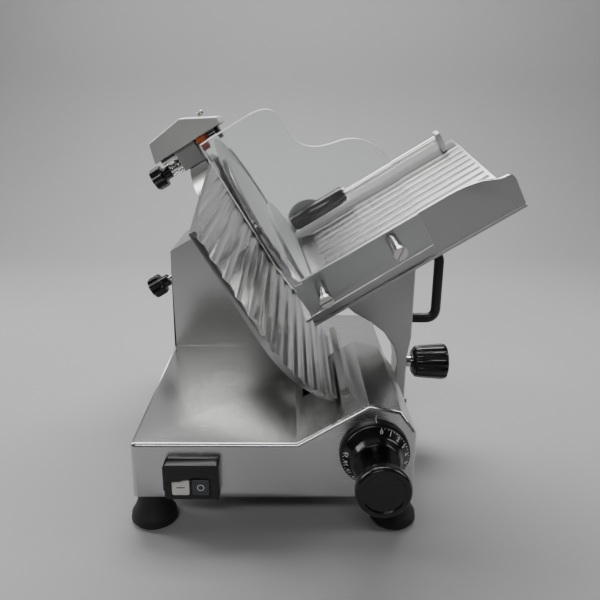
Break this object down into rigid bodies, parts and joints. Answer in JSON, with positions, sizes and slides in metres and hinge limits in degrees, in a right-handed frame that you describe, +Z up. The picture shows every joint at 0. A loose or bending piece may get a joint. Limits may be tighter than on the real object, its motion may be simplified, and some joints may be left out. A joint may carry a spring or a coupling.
{
  "type": "deli meat slicer",
  "caption": "Gravity-feed deli slicer: leaning round blade, fluted thickness plate set by a dial, tilted sliding tray with clear guard and pusher, and a sharpener above the blade.",
  "frame": {"origin": "on the bench, under the middle of the machine's overall box", "axes": "+Z up, +X to the operator's right, +Y away from the operator, along the carriage's travel"},
  "size_m": [0.4287, 0.509, 0.4176],
  "materials": {
    "cast_aluminium": "satin",
    "fluted_plate": "satin anodised",
    "tray_aluminium": "satin anodised",
    "sheet_steel": "brushed",
    "blade_steel": "ground",
    "cover_plate": "polished",
    "drive_steel": "machined",
    "chrome": "polished",
    "screw_steel": "bright",
    "bush_bronze": "machined",
    "motor_casing": "satin",
    "belt_rubber": "ribbed",
    "foot_rubber": "matt",
    "black_plastic": "moulded",
    "handle_plastic": "moulded",
    "shoe_plastic": "plain",
    "plate_plastic": "satin",
    "clear_plastic": "clear",
    "white_button": "moulded",
    "grey_button": "moulded",
    "red_stone": "gritty",
    "black_stone": "gritty"
  },
  "bodies": {
    "base": {"base_body": "cast_aluminium", "bottom_cover": "sheet_steel", "feet": "foot_rubber", "foot_screws": "screw_steel", "mains_inlet": "black_plastic", "switch_frame": "black_plastic", "dial_flange": "black_plastic", "gauge_rod": "drive_steel", "blade_bearings": "drive_steel", "ring_guard": "cast_aluminium", "slice_deflector": "sheet_steel", "blade_cover": "cover_plate", "motor": "motor_casing", "drive_belt": "belt_rubber", "sharpener_body": "cast_aluminium", "sharpener_hood": "cast_aluminium", "hood_screw": "screw_steel", "slide_rod": "chrome", "guide_bar": "drive_steel"},
    "on_button": {"on_button": "white_button"},
    "off_button": {"off_button": "grey_button"},
    "dial": {"scale_dial": "black_plastic", "dial_knob": "black_plastic", "dial_shaft": "drive_steel", "gauge_cam": "drive_steel"},
    "gauge": {"gauge_plate": "fluted_plate", "gauge_support": "cast_aluminium", "gauge_screws": "screw_steel", "gauge_bush": "bush_bronze", "cam_follower": "drive_steel"},
    "blade_unit": {"blade": "blade_steel", "blade_hub": "drive_steel", "blade_screws": "screw_steel"},
    "motor_rotor": {"motor_shaft": "drive_steel", "motor_pulley": "drive_steel"},
    "cover_release": {"cover_rod": "chrome", "cover_knob": "black_plastic"},
    "sharpener_knob": {"sharpener_knob": "black_plastic"},
    "grind_spindle": {"grind_spindle": "chrome"},
    "grind_stone": {"grind_stone": "red_stone"},
    "hone_spindle": {"hone_spindle": "chrome"},
    "hone_stone": {"hone_stone": "black_stone"},
    "carriage": {"slide_block": "cast_aluminium", "slide_bushes": "bush_bronze", "guide_shoe": "shoe_plastic", "carriage_arm": "cast_aluminium", "arm_screws": "screw_steel", "carriage_handle": "handle_plastic", "food_tray": "tray_aluminium", "tray_wall": "tray_aluminium", "clear_guard": "clear_plastic", "guard_standoffs": "chrome", "guard_screws": "screw_steel", "pusher_rod": "chrome", "rod_brackets": "cast_aluminium"},
    "arm_lock": {"arm_lock_knob": "black_plastic"},
    "pusher_hub": {"pusher_sleeve": "chrome"},
    "pusher": {"pusher_plate": "plate_plastic", "pusher_grip": "black_plastic"}
  },
  "joints": [
    {"name": "on_press", "type": "slide", "parent": "base", "child": "on_button", "axis": [0, 1, 0], "range_m": [0, 0.003], "stiffness_N_per_m": 400, "springref_m": -0.002},
    {"name": "off_press", "type": "slide", "parent": "base", "child": "off_button", "axis": [0, 1, 0], "range_m": [0, 0.003], "stiffness_N_per_m": 400, "springref_m": -0.002},
    {"name": "dial_turn", "type": "hinge", "parent": "base", "child": "dial", "pos_m": [0.0667, -0.1665, 0.09], "axis": [0, -1, 0], "range_deg": [-75.1, 225.1]},
    {"name": "gauge_slide", "type": "slide", "parent": "base", "child": "gauge", "axis": [0.8526, 0, 0.5225], "range_m": [-0.009, 0.003]},
    {"name": "blade_spin", "type": "hinge", "parent": "base", "child": "blade_unit", "pos_m": [-0.05683, 0.1235, 0.26438], "axis": [0.8526, 0, 0.5225], "continuous": true},
    {"name": "motor_spin", "type": "hinge", "parent": "base", "child": "motor_rotor", "pos_m": [-0.04235, 0.1785, 0.16418], "axis": [0.8526, 0, 0.5225], "continuous": true},
    {"name": "cover_knob_turn", "type": "hinge", "parent": "base", "child": "cover_release", "pos_m": [-0.19923, 0.1235, 0.17712], "axis": [0.8526, 0, 0.5225], "range_deg": [0, 1080]},
    {"name": "sharpener_knob_turn", "type": "hinge", "parent": "base", "child": "sharpener_knob", "pos_m": [-0.18945, 0.1235, 0.32385], "axis": [0.8526, 0, 0.5225], "range_deg": [0, 720]},
    {"name": "grind_press", "type": "slide", "parent": "base", "child": "grind_spindle", "axis": [0.8526, 0, 0.5225], "range_m": [0, 0.006], "stiffness_N_per_m": 600, "springref_m": -0.002},
    {"name": "grind_stone_spin", "type": "hinge", "parent": "grind_spindle", "child": "grind_stone", "pos_m": [-0.13196, 0.1115, 0.3755], "axis": [0.8526, 0, 0.5225], "continuous": true},
    {"name": "hone_pull", "type": "slide", "parent": "base", "child": "hone_spindle", "axis": [0.8526, 0, 0.5225], "range_m": [-0.0035, 0], "stiffness_N_per_m": 600, "springref_m": 0.002},
    {"name": "hone_stone_spin", "type": "hinge", "parent": "hone_spindle", "child": "hone_stone", "pos_m": [-0.11406, 0.1355, 0.38647], "axis": [0.8526, 0, 0.5225], "continuous": true},
    {"name": "carriage_slide", "type": "slide", "parent": "base", "child": "carriage", "axis": [0, 1, 0], "range_m": [-0.15, 0.11]},
    {"name": "arm_lock_turn", "type": "hinge", "parent": "carriage", "child": "arm_lock", "pos_m": [0.1537, 0.0185, 0.111], "axis": [1, 0, 0], "range_deg": [0, 720]},
    {"name": "pusher_slide", "type": "slide", "parent": "carriage", "child": "pusher_hub", "axis": [0.8526, 0, 0.5225], "range_m": [0, 0.12]},
    {"name": "pusher_swing", "type": "hinge", "parent": "pusher_hub", "child": "pusher", "pos_m": [0.01378, 0.06066, 0.29461], "axis": [-0.8526, 0, -0.5225], "range_deg": [0, 90]}
  ],
  "couplings": [
    {"joint": "dial_turn", "follows": "gauge_slide", "rad_per_m": -436.33},
    {"joint": "motor_spin", "follows": "blade_spin", "ratio": 2.1429}
  ]
}
